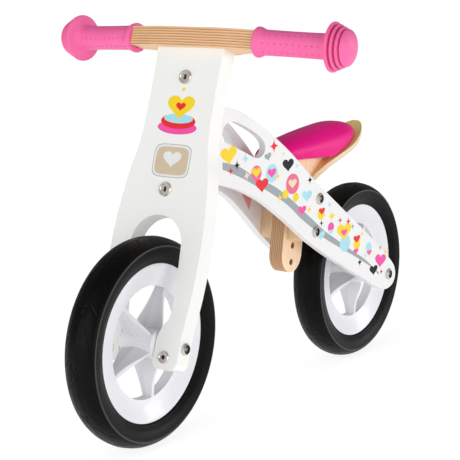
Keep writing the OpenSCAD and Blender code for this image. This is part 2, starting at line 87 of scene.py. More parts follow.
class Shader:
    """A principled material and short ways to add nodes to it."""

    def __init__(self, name, **sockets):
        self.m = bpy.data.materials.new(name)
        self.m.use_nodes = True
        self.t = self.m.node_tree
        self.t.nodes.clear()
        out = self.t.nodes.new("ShaderNodeOutputMaterial")
        self.b = self.t.nodes.new("ShaderNodeBsdfPrincipled")
        self.t.links.new(self.b.outputs[0], out.inputs[0])
        for key, value in sockets.items():
            self.b.inputs[key.replace("_", " ")].default_value = value
        self.coords = self.t.nodes.new("ShaderNodeTexCoord")

    def put(self, socket, value):
        if isinstance(value, bpy.types.NodeSocket):
            self.t.links.new(value, socket)
        else:
            socket.default_value = value

    def point(self, scale=(1, 1, 1), turn=(0, 0, 0)):
        """The piece's own coordinates in metres, turned and then stretched."""
        a = self.t.nodes.new("ShaderNodeMapping")
        a.inputs["Rotation"].default_value = turn
        self.put(a.inputs["Vector"], self.coords.outputs["Object"])
        b = self.t.nodes.new("ShaderNodeVectorMath")
        b.operation = "MULTIPLY"
        self.put(b.inputs[0], a.outputs[0])
        b.inputs[1].default_value = scale
        return b.outputs[0]

    def noise(self, vector, scale=1.0, detail=3.0, rough=0.5):
        n = self.t.nodes.new("ShaderNodeTexNoise")
        self.put(n.inputs["Vector"], vector)
        n.inputs["Scale"].default_value = scale
        n.inputs["Detail"].default_value = detail
        n.inputs["Roughness"].default_value = rough
        return n.outputs["Fac"]

    def cells(self, vector, scale):
        n = self.t.nodes.new("ShaderNodeTexVoronoi")
        self.put(n.inputs["Vector"], vector)
        n.inputs["Scale"].default_value = scale
        return n.outputs["Distance"]

    def math(self, kind, a, b=0.0):
        n = self.t.nodes.new("ShaderNodeMath")
        n.operation = kind
        self.put(n.inputs[0], a)
        self.put(n.inputs[1], b)
        return n.outputs[0]

    def part(self, vector, axis):
        n = self.t.nodes.new("ShaderNodeSeparateXYZ")
        self.put(n.inputs[0], vector)
        return n.outputs[axis]

    def ramp(self, fac, stops):
        n = self.t.nodes.new("ShaderNodeValToRGB")
        e = n.color_ramp.elements
        while len(e) < len(stops):
            e.new(1.0)
        for k, (at, colour) in enumerate(stops):
            e[k].position = at
            e[k].color = (*colour, 1) if len(colour) == 3 else colour
        self.put(n.inputs[0], fac)
        return n.outputs["Color"]

    def mix(self, fac, a, b, kind="MIX"):
        n = self.t.nodes.new("ShaderNodeMix")
        n.data_type = "RGBA"
        n.blend_type = kind
        self.put(n.inputs[0], fac)
        for k, v in ((6, a), (7, b)):
            self.put(n.inputs[k], (*v, 1) if isinstance(v, tuple) and len(v) == 3 else v)
        return n.outputs[2]

    def scale(self, fac, low, high):
        n = self.t.nodes.new("ShaderNodeMapRange")
        self.put(n.inputs["Value"], fac)
        n.inputs["To Min"].default_value = low
        n.inputs["To Max"].default_value = high
        return n.outputs[0]

    def colour(self, value):
        self.put(self.b.inputs["Base Color"], value)

    def rough(self, value):
        self.put(self.b.inputs["Roughness"], value)

    def bump(self, height, strength, distance):
        n = self.t.nodes.new("ShaderNodeBump")
        n.inputs["Strength"].default_value = strength
        n.inputs["Distance"].default_value = distance
        self.put(n.inputs["Height"], height)
        self.put(self.b.inputs["Normal"], n.outputs[0])

    def attribute(self, name):
        n = self.t.nodes.new("ShaderNodeAttribute")
        n.attribute_name = name
        return n.outputs["Fac"]


def painted_wood(name, tone, along, turn=(0, 0, 0)):
    """Satin white paint that lets a little of the grain through."""
    s = Shader(name, Coat_Weight=0.15, Coat_Roughness=0.25, Specular_IOR_Level=0.45)
    grain = s.noise(s.point(along, turn), 1.0, 4, 0.6)
    cloud = s.noise(s.point(), 14.0, 3)
    dark = tuple(c * 0.955 for c in tone)
    s.colour(s.mix(s.scale(cloud, 0.2, 0.8), dark, tone))
    s.rough(s.scale(s.noise(s.point(), 60.0, 2), 0.34, 0.46))
    fine = s.math("MULTIPLY", s.noise(s.point(), 900.0, 2), 0.5)
    s.bump(s.math("ADD", grain, fine), 0.25, 0.00025)
    return s.m


def plywood(name, stack, along, turn=(0, 0, 0), face=((0.80, 0.60, 0.36), (0.66, 0.44, 0.23)),
            pale=(0.83, 0.66, 0.44), deep=(0.42, 0.25, 0.12), period=0.0038, share=0.75):
    """Layers stacked along one axis of the piece, with a long-grained veneer on the outer faces."""
    s = Shader(name, Coat_Weight=0.12, Coat_Roughness=0.3, Specular_IOR_Level=0.4)
    p = s.point((1, 1, 1), turn)
    wave = s.math("MULTIPLY", s.math("SUBTRACT", s.noise(p, 22.0, 2), 0.5), 0.0012)
    at = s.math("DIVIDE", s.math("ADD", s.part(p, stack), wave), period)
    layer = s.math("FRACT", s.math("ADD", at, 100.0))
    bands = s.ramp(layer, [(0.0, pale), (0.42, pale), (0.50, deep), (0.56, deep), (0.62, tuple(
        0.55 * a + 0.45 * b for a, b in zip(pale, deep))), (0.94, tuple(
            0.7 * a + 0.3 * b for a, b in zip(pale, deep))), (1.0, pale)])
    pores = s.noise(s.point(tuple(a * 2.2 for a in along), turn), 1.0, 5, 0.65)
    edge = s.mix(s.scale(pores, 0.0, 0.55), bands, (0.50, 0.30, 0.15), "MULTIPLY")
    grain = s.noise(s.point(along, turn), 1.0, 5, 0.62)
    veneer = s.ramp(grain, [(0.30, face[1]), (0.52, face[0]), (0.75, tuple(
        min(1, c * 1.08) for c in face[0]))])
    turned = s.t.nodes.new("ShaderNodeMapping")
    turned.inputs["Rotation"].default_value = turn
    s.put(turned.inputs["Vector"], s.coords.outputs["Normal"])
    facing = s.math("GREATER_THAN", s.math("ABSOLUTE", s.part(turned.outputs[0], stack)), share)
    s.colour(s.mix(facing, edge, veneer))
    s.rough(s.scale(grain, 0.42, 0.58))
    s.bump(s.math("ADD", grain, s.math("MULTIPLY", layer, 0.25)), 0.3, 0.0003)
    return s.m


def plain_wood(name, along, light, dark, turn=(0, 0, 0)):
    s = Shader(name, Coat_Weight=0.1, Coat_Roughness=0.35, Specular_IOR_Level=0.4)
    grain = s.noise(s.point(along, turn), 1.0, 5, 0.6)
    rings = s.noise(s.point(tuple(a * 0.25 for a in along), turn), 1.0, 2)
    tone = s.ramp(grain, [(0.32, dark), (0.55, light), (0.8, tuple(min(1, c * 1.06) for c in light))])
    s.colour(s.mix(s.scale(rings, 0.0, 0.5), tone, dark, "MULTIPLY"))
    s.rough(s.scale(grain, 0.45, 0.6))
    s.bump(grain, 0.3, 0.0003)
    return s.m


def metal(name, tone, low, high, worn=0.12):
    s = Shader(name, Metallic=1.0)
    fine = s.noise(s.point((500, 500, 2500)), 1.0, 3)
    cloud = s.noise(s.point(), 220.0, 4)
    s.colour(s.mix(s.scale(cloud, 0.0, 0.6), tone, tuple(c * (1 - worn * 2) for c in tone)))
    s.rough(s.scale(fine, low, high))
    s.bump(fine, 0.15, 0.00008)
    return s.m


def plastic(name, tone, low, high, grain=1400.0, **sockets):
    s = Shader(name, **sockets)
    cloud = s.noise(s.point(), 35.0, 3)
    s.colour(s.mix(s.scale(cloud, 0.0, 1.0), tuple(c * 0.96 for c in tone), tone))
    s.rough(s.scale(s.noise(s.point(), 90.0, 3), low, high))
    s.bump(s.noise(s.point(), grain, 2), 0.2, 0.0001)
    return s.m


def tyre_rubber(name):
    """Black foam rubber, a little browner and greener in patches, paler on the raised lines of its
    shoulders.
    """
    s = Shader(name, Specular_IOR_Level=0.09)
    cloud = s.noise(s.point(), 26.0, 4)
    tone = s.ramp(cloud, [(0.3, (0.0012, 0.001, 0.001)), (0.5, (0.002, 0.002, 0.0018)),
                          (0.7, (0.0038, 0.003, 0.0026))])
    lip = s.attribute("lip")
    pit = s.attribute("pit")
    tone = s.mix(s.math("MULTIPLY", lip, 0.8), tone, (0.11, 0.11, 0.115))
    s.colour(s.mix(pit, tone, (0.003, 0.003, 0.003)))
    s.rough(s.scale(s.noise(s.point(), 130.0, 4), 0.33, 0.46))
    pores = s.math("MULTIPLY", s.cells(s.point(), 500.0), 0.6)
    s.bump(s.math("ADD", s.noise(s.point(), 1500.0, 3), pores), 0.16, 0.00025)
    return s.m


def grip_rubber(name):
    s = Shader(name, Specular_IOR_Level=0.4, Subsurface_Weight=0.08, Subsurface_Scale=0.003)
    pit = s.attribute("pit")
    cloud = s.noise(s.point(), 40.0, 3)
    tone = s.mix(s.scale(cloud, 0.0, 1.0), (0.90, 0.125, 0.36), (0.96, 0.165, 0.42))
    # Painted shade: the pits and the grooves between the end rings are coloured a darker magenta
    s.colour(s.mix(pit, tone, (0.50, 0.016, 0.11)))
    s.rough(s.scale(s.noise(s.point(), 160.0, 3), 0.42, 0.58))
    s.bump(s.noise(s.point(), 1800.0, 2), 0.25, 0.00015)
    return s.m


def pad_cover(name):
    """Glossy synthetic leather: fine pebble grain over a deep magenta."""
    s = Shader(name, Specular_IOR_Level=0.13)
    cloud = s.noise(s.point(), 30.0, 4)
    s.colour(s.mix(s.scale(cloud, 0.0, 1.0), (0.80, 0.0, 0.215), (0.90, 0.0, 0.255)))
    grain = s.cells(s.point(), 620.0)
    s.rough(s.scale(s.noise(s.point(), 300.0, 3), 0.34, 0.46))
    s.bump(s.math("ADD", grain, s.math("MULTIPLY", s.noise(s.point(), 90.0, 3), 0.8)), 0.22, 0.0003)
    return s.m


def vinyl(name, tone):
    """Printed sticker film."""
    s = Shader(name, Specular_IOR_Level=0.18)
    dots = s.noise(s.point(), 900.0, 2)
    cloud = s.noise(s.point(), 70.0, 2)
    s.colour(s.mix(s.scale(cloud, 0.0, 1.0), tuple(c * 0.93 for c in tone), tone))
    s.rough(s.scale(dots, 0.34, 0.46))
    s.bump(dots, 0.12, 0.00005)
    return s.m


ALONG_X = (9, 260, 260)
ALONG_Z = (260, 260, 9)
ALONG_Y = (260, 9, 260)
back = (LEAN, 0, 0)
post_turn = (POST_LEAN, 0, 0)
panel_slope = (math.radians(38), 0, 0)

mats = {
    "fork": painted_wood("white_fork_paint", (0.91, 0.915, 0.89), (160, 160, 7), back),
    "panel": painted_wood("white_panel_paint", (0.86, 0.86, 0.86), (160, 7, 160), panel_slope),
    "bar": plywood("handlebar_plywood", 2, ALONG_X, back, face=((0.92, 0.61, 0.34), (0.74, 0.44, 0.21)),
                   pale=(1.0, 0.64, 0.36), deep=(0.34, 0.13, 0.04)),
    "post": plywood("post_plywood", 0, (260, 260, 9), post_turn,
                    face=((0.95, 0.70, 0.48), (0.88, 0.60, 0.38)), period=0.0034,
                    pale=(0.72, 0.44, 0.23), deep=(0.20, 0.08, 0.03)),
    "board": plywood("board_plywood", 2, ALONG_Y),
    "spacer": plain_wood("spacer_beech", ALONG_Z, (0.86, 0.66, 0.43), (0.78, 0.56, 0.34), post_turn),
    "shell": plywood("shell_plywood", 2, (200, 14, 200), (math.radians(-20), 0, 0), share=0.55,
                     face=((0.85, 0.62, 0.21), (0.72, 0.50, 0.15)), period=0.0055,
                     pale=(1.0, 0.86, 0.66), deep=(0.90, 0.72, 0.50)),
    "steel": metal("bolt_steel", (0.72, 0.67, 0.61), 0.22, 0.38),
    "zinc": metal("zinc_steel", (0.58, 0.58, 0.57), 0.30, 0.48),
    "bracket": metal("bracket_steel", (0.20, 0.20, 0.21), 0.40, 0.55),
    "rim": plastic("white_rim_plastic", (0.83, 0.83, 0.865), 0.30, 0.42, Specular_IOR_Level=0.45,
                   Coat_Weight=0.1),
    "bush": plastic("black_bush_plastic", (0.03, 0.03, 0.03), 0.45, 0.6),
    "tyre": tyre_rubber("tyre_rubber"),
    "grip": grip_rubber("pink_grip_rubber"),
    "pad": pad_cover("magenta_pad_cover"),
}

carried = {
    "fork": "fork_board",
    "panel": "side_panel_left side_panel_right head_block",
    "bar": "handlebar",
    "post": "seat_post",
    "board": "seat_board",
    "spacer": "spacer_left spacer_right",
    "shell": "seat_shell",
    "steel": "handlebar_screws fork_bolts steering_pin leg_bolts front_axle front_axle_nut "
             "head_bolts head_bolt_nuts seat_bolts seat_bolt_nuts rear_axle rear_axle_nut "
             "front_bearings rear_bearings",
    "zinc": "fork_bolt_nuts steering_pin_nut leg_bolt_nuts front_axle_spacers "
            "rear_axle_spacers seat_screws",
    "bracket": "upper_bracket lower_bracket",
    "rim": "front_rim rear_rim",
    "bush": "head_bushes",
}
for key, names in carried.items():
    for n in names.split():
        data = nodes[n].data
        data.materials.clear()
        data.materials.append(mats[key])
        data.polygons.foreach_set("material_index", [0] * len(data.polygons))

# The bolts that cross the bike get a near-black material on the dish round their bright socket: painted
# shade in the dish
SIDE_BOLTS = [
    (FORK @ Vector((0, 0, 0)), "front_axle front_axle_nut"),
    (Vector((0, REAR_Y, AXLE_Z)), "rear_axle rear_axle_nut"),
    (SEAT_BOLT, "seat_bolts seat_bolt_nuts"),
    (SEAT_BOLT + TWO_HOLES * Vector((0, math.sin(POST_LEAN), math.cos(POST_LEAN))),
     "seat_bolts seat_bolt_nuts"),
]
DISH_FROM, DISH_TO = 0.0031, 0.0066
SOCKET = 0.0027
# Near-black material for painted shade in the bolts' dishes and sockets
painted_bolt_shade = plastic("bolt_recess_painted_shade", (0.012, 0.012, 0.013), 0.25, 0.4, Specular_IOR_Level=0.3)
for middle, names in SIDE_BOLTS:
    for n in names.split():
        o = nodes[n]
        if painted_bolt_shade.name not in o.data.materials:
            o.data.materials.append(painted_bolt_shade)
        reach = max(abs((o.matrix_world @ v.co).x) for v in o.data.vertices)
        for p in o.data.polygons:
            c = o.matrix_world @ p.center
            off = math.hypot(c.y - middle.y, c.z - middle.z)
            if DISH_FROM < off < DISH_TO and abs(c.x) > reach - 0.003:
                p.material_index = 1

# The bolts through the fork board are bright all over but for their sockets, which get the near-black
# material: painted shade in the sockets
for n, places in (
    ("fork_bolts", [(0, 0.378), (0, 0.216)]),
    ("leg_bolts", [(0.0483, -0.016), (-0.0483, -0.016)]),
):
    o = nodes[n]
    o.data.materials.append(painted_bolt_shade)
    for p in o.data.polygons:
        c = FORK.inverted() @ (o.matrix_world @ p.center)
        if c.y < -0.012 and min(math.hypot(c.x - x, c.z - z) for x, z in places) < SOCKET:
            p.material_index = 1

# Flanks of the wheels' spokes are matt and get a greyer copy of the rim plastic than their polished
# ridges and rims: painted shade in the recesses between the ridges
painted_flank_shade = plastic("rim_flank_painted_shade", (0.74, 0.74, 0.77), 0.5, 0.62, Specular_IOR_Level=0.3)
# A face nearer the wheel's middle plane than this, for its radius, is a flank and not a ridge
FACE_AT = [0.021, 0.027, 0.040, 0.052, 0.064, 0.076, 0.082]
FACE = [0.0249, 0.024, 0.0185, 0.014, 0.0105, 0.0085, 0.0085]
for n, y in (("front_rim", FRONT_Y), ("rear_rim", REAR_Y)):
    o = nodes[n]
    o.data.materials.append(painted_flank_shade)
    for p in o.data.polygons:
        c = o.matrix_world @ p.center
        r = math.hypot(c.y - y, c.z - AXLE_Z)
        below = np.interp(r, FACE_AT, FACE) - abs(c.x)
        if FACE_AT[0] + 0.0005 < r < 0.0805 and below > 0.0008:
            p.material_index = 1


# ---- Softened edges of the CAD pieces ----


def soften(name, width, steps, angle=35):
    """Rounds the sharp edges of a CAD piece with modifiers; its mesh stays as it is."""
    o = nodes[name]
    weld = o.modifiers.new("weld", "WELD")
    weld.merge_threshold = 0.00002
    if width:
        flat = o.modifiers.new("flat", "DECIMATE")
        flat.decimate_type = "DISSOLVE"
        flat.angle_limit = math.radians(0.6)
        bevel = o.modifiers.new("bevel", "BEVEL")
        bevel.width = width
        bevel.segments = steps
        bevel.limit_method = "ANGLE"
        bevel.angle_limit = math.radians(angle)
        bevel.use_clamp_overlap = True
        bevel.miter_outer = "MITER_ARC"
        bevel.harden_normals = False
    smooth_by_angle(o, 32)


def smooth_by_angle(o, angle):
    o.data.polygons.foreach_set("use_smooth", [True] * len(o.data.polygons))
    if o.data.has_custom_normals:
        o.data.attributes.remove(o.data.attributes["custom_normal"])
    weights = o.modifiers.new("normals", "WEIGHTED_NORMAL")
    weights.keep_sharp = True
    sharp = o.modifiers.new("sharp", "EDGE_SPLIT")
    sharp.split_angle = math.radians(angle)
    sharp.use_edge_sharp = False


for n, width, steps in (
    ("fork_board", 0.0022, 3), ("handlebar", 0.0016, 2), ("side_panel_left", 0.0028, 3),
    ("side_panel_right", 0.0028, 3), ("seat_post", 0.0015, 2), ("spacer_left", 0.001, 2),
    ("spacer_right", 0.001, 2), ("seat_shell", 0.0018, 2), ("head_block", 0.0012, 2),
    ("upper_bracket", 0.0006, 2), ("lower_bracket", 0.0006, 2), ("seat_board", 0.0, 0),
):
    soften(n, width, steps)

# ---- Mesh helpers ----


def add_mesh(name, verts, faces, materials, body):
    data = bpy.data.meshes.new(name)
    data.from_pydata([tuple(v) for v in verts], [], faces)
    data.update()
    for m in materials:
        data.materials.append(m)
    o = bpy.data.objects.new(name, data)
    bpy.context.scene.collection.objects.link(o)
    data.polygons.foreach_set("use_smooth", [True] * len(data.polygons))
    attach(o, body)
    return o


def revolve(path, n):
    """Closed surface of revolution about Z: path is a closed loop of (radius, height)."""
    rings = []
    verts = []
    for r, z in path:
        if r < 1e-9:
            rings.append([len(verts)])
            verts.append((0.0, 0.0, z))
        else:
            rings.append(list(range(len(verts), len(verts) + n)))
            verts.extend((r * math.cos(a), r * math.sin(a), z)
                         for a in (2 * math.pi * k / n for k in range(n)))
    faces = []
    for k, one in enumerate(rings):
        two = rings[(k + 1) % len(rings)]
        if len(one) == 1 and len(two) == 1:
            continue
        for i in range(n):
            j = (i + 1) % n
            if len(one) == 1:
                faces.append((one[0], two[j], two[i]))
            elif len(two) == 1:
                faces.append((one[i], one[j], two[0]))
            else:
                faces.append((one[i], one[j], two[j], two[i]))
    return np.array(verts), faces


def curve(points, n):
    """Smooth curve through the points, n steps between each two."""
    p = np.array([points[0], *points, points[-1]], float)
    out = []
    for i in range(1, len(p) - 2):
        a, b, c, d = p[i - 1 : i + 3]
        for k in range(n):
            t = k / n
            out.append(0.5 * (2 * b + (c - a) * t + (2 * a - 5 * b + 4 * c - d) * t * t
                              + (3 * b - a - 3 * c + d) * t ** 3))
    out.append(p[-2])
    return np.array(out)


def smoothstep(x):
    x = np.clip(x, 0, 1)
    return x * x * (3 - 2 * x)


def set_float(o, name, values):
    layer = o.data.attributes.new(name, "FLOAT", "POINT")
    layer.data.foreach_set("value", np.asarray(values, np.float32))


# ---- Tyres ----

# Strokes of the tread in millimetres: (along, across) to (along, across), on both flanks
TREAD = [
    ((4, 9), (17, 20)),
    ((30, 6), (38, 13)),
    ((38, 13), (46, 13)),
    ((52, 17), (62, 21)),
]
# Strokes of the small arrow in the middle
CENTRE = [
    ((9, -6), (22, 0)),
    ((22, 0), (9, 6)),
    ((9, 6), (9, -6)),
]
GIRTH = 942.48
PERIOD = GIRTH / 12
CUT_DEPTH = 0.8


def stroke_depth(u, v, a, b, half):
    """1 in the middle of a stroke from a to b, 0 outside it."""
    a = np.array(a, float)
    b = np.array(b, float)
    d = b - a
    best = np.full(u.shape, 1e9)
    for shift in (-PERIOD, 0, PERIOD):
        pu = u - a[0] + shift
        pv = v - a[1]
        t = np.clip((pu * d[0] + pv * d[1]) / (d @ d), 0, 1)
        best = np.minimum(best, np.hypot(pu - t * d[0], pv - t * d[1]))
    return 1 - smoothstep((best - half * 0.45) / (half * 0.75))


def make_tyre(name, node, body, y, phase):
    """Tyre with a raised line on each shoulder and shallow cuts in its tread."""
    side = [(13.9, 104.2), (15.2, 113.2), (17.5, 113.2), (19.0, 114.6), (20.4, 118.0),
            (23.0, 124.0), (24.6, 130.0), (25.4, 134.6)]
    lip = [(25.7, 136.6), (26.3, 137.6), (26.3, 138.6), (25.6, 139.6)]
    crown = curve([(25.6, 139.6), (22.4, 142.8), (17.2, 145.9), (10.4, 148.5), (0, 150)], 9)
    half = [*side[:2], *curve(side[2:], 3), *lip, *crown[1:]]
    full = half + [(-x, r) for x, r in half[-2::-1]]
    verts, faces = revolve([(r * MM, x * MM) for x, r in full], 640)
    x = verts[:, 2] / MM
    r = np.hypot(verts[:, 0], verts[:, 1]) / MM
    angle = np.arctan2(verts[:, 1], verts[:, 0])
    u = np.mod(angle / (2 * math.pi) * GIRTH + phase, PERIOD)
    depth = np.zeros(len(verts))
    for a, b in TREAD:
        for s in (1, -1):
            depth = np.maximum(depth, stroke_depth(u, s * x, a, b, 1.1))
    for a, b in CENTRE:
        depth = np.maximum(depth, stroke_depth(u, x, a, b, 1.0))
    depth *= smoothstep((r - 140.5) / 2)
    ratio = (r - CUT_DEPTH * depth) / r
    verts[:, 0] *= ratio
    verts[:, 1] *= ratio
    on_lip = smoothstep(1 - np.abs(r - 138.1) / 1.6) * (np.abs(x) > 24)
    place = Matrix.Translation((0, y, AXLE_Z)) @ Matrix.Rotation(math.radians(90), 4, "Y")
    world = [place @ Vector(v) for v in verts]
    o = add_mesh(name, world, faces, [mats["tyre"]], body)
    set_float(o, "pit", depth)
    set_float(o, "lip", on_lip)
    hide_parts(node)


make_tyre("front_tyre_tread", "front_tyre", "front_wheel", FRONT_Y, 11)
make_tyre("rear_tyre_tread", "rear_tyre", "rear_wheel", REAR_Y, 3)

# ---- Grips ----


def make_grip(name, node, place, flip):
    """Grip with rows of pits, a flange, two rings and a domed end, along Z from its collar."""
    inner = curve([(13.5, 0), (19.4, 0), (21.0, 0.9), (21.6, 2.6), (21.3, 5.2), (20.0, 8.6),
                   (18.4, 12.0), (17.95, 15.0)], 3)
    body = [(17.95 - 0.35 * math.sin(math.pi * (z - 15) / 89), z)
            for z in np.arange(15.8, 104, 0.8)]
    rings = curve([(17.95, 104), (18.4, 107), (21, 109.6), (27, 112), (33.0, 114), (34.3, 115.4),
                   (34.3, 117.2), (33.2, 118.4), (31.2, 118.9), (29.6, 119.3), (29.6, 120.7),
                   (30.9, 121.6), (31.4, 123.0), (30.8, 124.8), (29.0, 125.5), (27.2, 125.9),
                   (27.2, 127.3), (28.1, 128.2), (28.5, 129.6), (27.9, 131.2), (26.2, 131.8),
                   (24.9, 132.2), (24.9, 133.5), (25.7, 134.4)], 3)
    dome = [(25.8 * math.cos(a), 134.6 + 12.2 * math.sin(a))
            for a in np.radians(np.arange(4, 90, 4.2))]
    path = [*inner, *body, *rings, *dome, (0, 146.9), (0, 138.1), (13.5, 138.1)]
    verts, faces = revolve([(r * MM, z * MM) for r, z in path], 176)
    r = np.hypot(verts[:, 0], verts[:, 1]) / MM
    z = verts[:, 2] / MM
    angle = np.arctan2(verts[:, 1], verts[:, 0])
    pit = np.zeros(len(verts))
    outer = (z > 12) & (z < 104) & (r > 16)
    for k in range(8):
        across = (np.mod(angle - math.radians(17 + 45 * k) + math.pi, 2 * math.pi) - math.pi) * 17.8
        for i in range(10):
            d = np.hypot(across, z - 15.5 - 9.4 * i)
            pit = np.maximum(pit, np.where(outer, 1 - smoothstep((d - 0.5) / 1.25), 0))
    ratio = np.where(r > 0, (r - 0.9 * pit) / np.maximum(r, 1e-9), 1)
    verts[:, 0] *= ratio
    verts[:, 1] *= ratio
    # Painted shade in the grooves between the end rings; it only darkens the colour, the pits also get
    # a share of it
    groove_shade = np.zeros(len(verts))
    for low, high in ((118.9, 121.0), (125.4, 127.6), (131.9, 134.0)):
        mid = (low + high) / 2
        groove_shade = np.maximum(groove_shade, np.where(r > 20, smoothstep(1.6 - np.abs(z - mid) / 0.9), 0))
    world = [place @ Vector(v) for v in verts]
    if flip:
        faces = [f[::-1] for f in faces]
    o = add_mesh(name, world, faces, [mats["grip"]], "steering")
    set_float(o, "pit", np.maximum(pit * 0.55, groove_shade))
    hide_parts(node)


make_grip("grip_left_rubber", "grip_left", BAR_END, False)
make_grip("grip_right_rubber", "grip_right", MIRROR @ BAR_END, True)

# ---- Seat pad ----

PAD_TOP = [(22, 377), (26, 386.5), (38, 393.2), (56, 398.2), (100, 405.0), (150, 410.6),
           (203, 414.4), (238, 412.8), (262, 407.4), (276, 400.4), (283, 395.2)]
PAD_PLAN = [(22, 19), (26, 22.5), (38, 26.5), (56, 29.5), (100, 33.6), (150, 35.8), (190, 36.8),
            (228, 35.0), (252, 28.5), (268, 20.0), (277, 12.0), (283, 3)]
PAD_LOW = [(22, 371), (45, 366.0), (100, 363.8), (150, 360.4), (182, 358.4), (200, 364.0),
           (225, 372.2), (250, 380.9), (268, 387.6), (283, 393.4)]
SWELL = 0.0022
VOXEL = 0.0042


def pad_mesh():
    """Crowned closed form, fullest low down on its sides, flat below."""
    ys = np.concatenate([
        np.linspace(22, 40, 8)[:-1], np.linspace(40, 250, 54)[:-1], np.linspace(250, 283, 13)])
    top = curve(PAD_TOP, 8)
    plan = curve(PAD_PLAN, 8)
    low = curve(PAD_LOW, 8)
    around = 56
    verts = []
    for y in ys:
        t = np.interp(y, top[:, 0], top[:, 1]) - 1.2
        b = np.interp(y, low[:, 0], low[:, 1]) + 0.4
        a = np.interp(y, plan[:, 0], plan[:, 1]) - 1.0
        t = max(t, b + 1.5)
        mid = b + 0.27 * (t - b)
        for k in range(around):
            w = 2 * math.pi * k / around
            c, s = math.cos(w), math.sin(w)
            if s >= 0:
                x = a * math.copysign(abs(c) ** 0.80, c)
                z = mid + (t - mid) * s ** 0.98
            else:
                x = a * math.copysign(abs(c) ** 0.30, c) * (1 - 0.08 * abs(s) ** 3)
                z = mid - (mid - b) * abs(s) ** 0.45
            verts.append((x * MM, y * MM, z * MM))
    faces = []
    m = len(ys)
    for i in range(m - 1):
        for k in range(around):
            j = (k + 1) % around
            near, far = i * around, (i + 1) * around
            faces.append((near + k, near + j, far + j, far + k))
    faces.append(tuple(range(around - 1, -1, -1)))
    faces.append(tuple((m - 1) * around + k for k in range(around)))
    return verts, faces


def make_pad():
    """Remeshes the pad, swells it as a cloth under pressure and gathers its lower edge."""
    verts, faces = pad_mesh()
    o = add_mesh("seat_cushion", verts, faces, [mats["pad"]], "frame")
    o.parent = None
    bm = bmesh.new()
    bm.from_mesh(o.data)
    bmesh.ops.recalc_face_normals(bm, faces=bm.faces)
    bm.to_mesh(o.data)
    bm.free()
    bpy.context.view_layer.objects.active = o
    o.select_set(True)
    o.data.remesh_voxel_size = VOXEL
    o.data.remesh_voxel_adaptivity = 0
    bpy.ops.object.voxel_remesh()
    rest = np.array([v.co for v in o.data.vertices])
    low = np.array(PAD_LOW)
    under = np.interp(rest[:, 1] / MM, low[:, 0], low[:, 1]) * MM
    normals = np.array([v.normal for v in o.data.vertices])
    bottom = (normals[:, 2] < -0.55) & (rest[:, 2] < under + 0.006)
    # The staples hold the folded cover under the board's edge; the foam swells between them
    pins = o.vertex_groups.new(name="staples")
    pins.add([int(i) for i in np.nonzero(bottom)[0]], 1.0, "REPLACE")
    cloth = o.modifiers.new("cloth", "CLOTH")
    c = cloth.settings
    c.quality = 6
    c.mass = 0.25
    c.tension_stiffness = c.compression_stiffness = 22
    c.shear_stiffness = 8
    c.bending_stiffness = 3
    c.use_pressure = True
    c.uniform_pressure_force = 4
    c.vertex_group_mass = "staples"
    c.effector_weights.gravity = 0
    cloth.collision_settings.use_collision = False
    for f in range(1, 17):
        bpy.context.scene.frame_set(f)
    dg = bpy.context.evaluated_depsgraph_get()
    swollen = np.array([v.co for v in o.evaluated_get(dg).data.vertices])
    o.modifiers.remove(cloth)
    bpy.context.scene.frame_set(1)
    move = swollen - rest
    length = np.linalg.norm(move, axis=1, keepdims=True)
    move *= np.minimum(1, SWELL / np.maximum(length, 1e-9))
    rest = rest + move
    # Gathers: short folds fanning up from the cover's lower edge
    lift = rest[:, 2] - under
    along = rest[:, 1] / MM
    fade = smoothstep(1 - (lift / MM - 1.0) / 13.0) * smoothstep((lift / MM + 1) / 2)
    side = smoothstep((np.abs(normals[:, 0]) - 0.15) / 0.4)
    front = smoothstep((150 - along) / 90) * 0.7 + 0.3
    fold = np.sin(along * 0.62 + 1.4 * np.sin(along * 0.11)) * 0.6 + np.sin(along * 1.31 + 0.7) * 0.4
    rest[:, 0] += normals[:, 0] * fold * fade * side * front * 0.0009
    rest[:, 2] += fold * fade * side * front * 0.0007
    o.data.vertices.foreach_set("co", rest.astype(np.float32).ravel())
    o.data.update()
    sub = o.modifiers.new("sub", "SUBSURF")
    sub.levels = sub.render_levels = 1
    bpy.ops.object.modifier_apply(modifier=sub.name)
    o.data.polygons.foreach_set("use_smooth", [True] * len(o.data.polygons))
    o.select_set(False)
    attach(o, "frame")
    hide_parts("seat_pad")


make_pad()

# ---- Stickers ----

INK = {
    "red": (0.84, 0.025, 0.035), "yellow": (0.96, 0.70, 0.02), "pink": (0.92, 0.09, 0.40),
    "black": (0.006, 0.006, 0.009), "blue": (0.42, 0.76, 0.86), "cream": (0.92, 0.72, 0.46),
    "grey": (0.36, 0.40, 0.43), "salmon": (0.78, 0.34, 0.32), "tan": (0.66, 0.54, 0.38),
    "white": (0.84, 0.84, 0.82), "rose": (0.86, 0.16, 0.32),
}
inks = {k: vinyl("ink_" + k, v) for k, v in INK.items()}


def heart(r):
    t = np.linspace(0, 2 * math.pi, 33)[:-1]
    x = 16 * np.sin(t) ** 3
    y = 13 * np.cos(t) - 5 * np.cos(2 * t) - 2 * np.cos(3 * t) - np.cos(4 * t)
    return [(1.13 * a * r / 16, 0.92 * (b + 2) * r / 16) for a, b in zip(-x, y)]


def star(r):
    t = np.linspace(0, 2 * math.pi, 33)[:-1]
    return [(r * math.copysign(abs(math.cos(a)) ** 4.2, math.cos(a)),
             r * math.copysign(abs(math.sin(a)) ** 4.2, math.sin(a))) for a in t]


def disc(r):
    return [(r * math.cos(a), r * math.sin(a)) for a in np.linspace(0, 2 * math.pi, 33)[:-1]]


SHAPES = {"heart": heart, "star": star, "disc": disc}


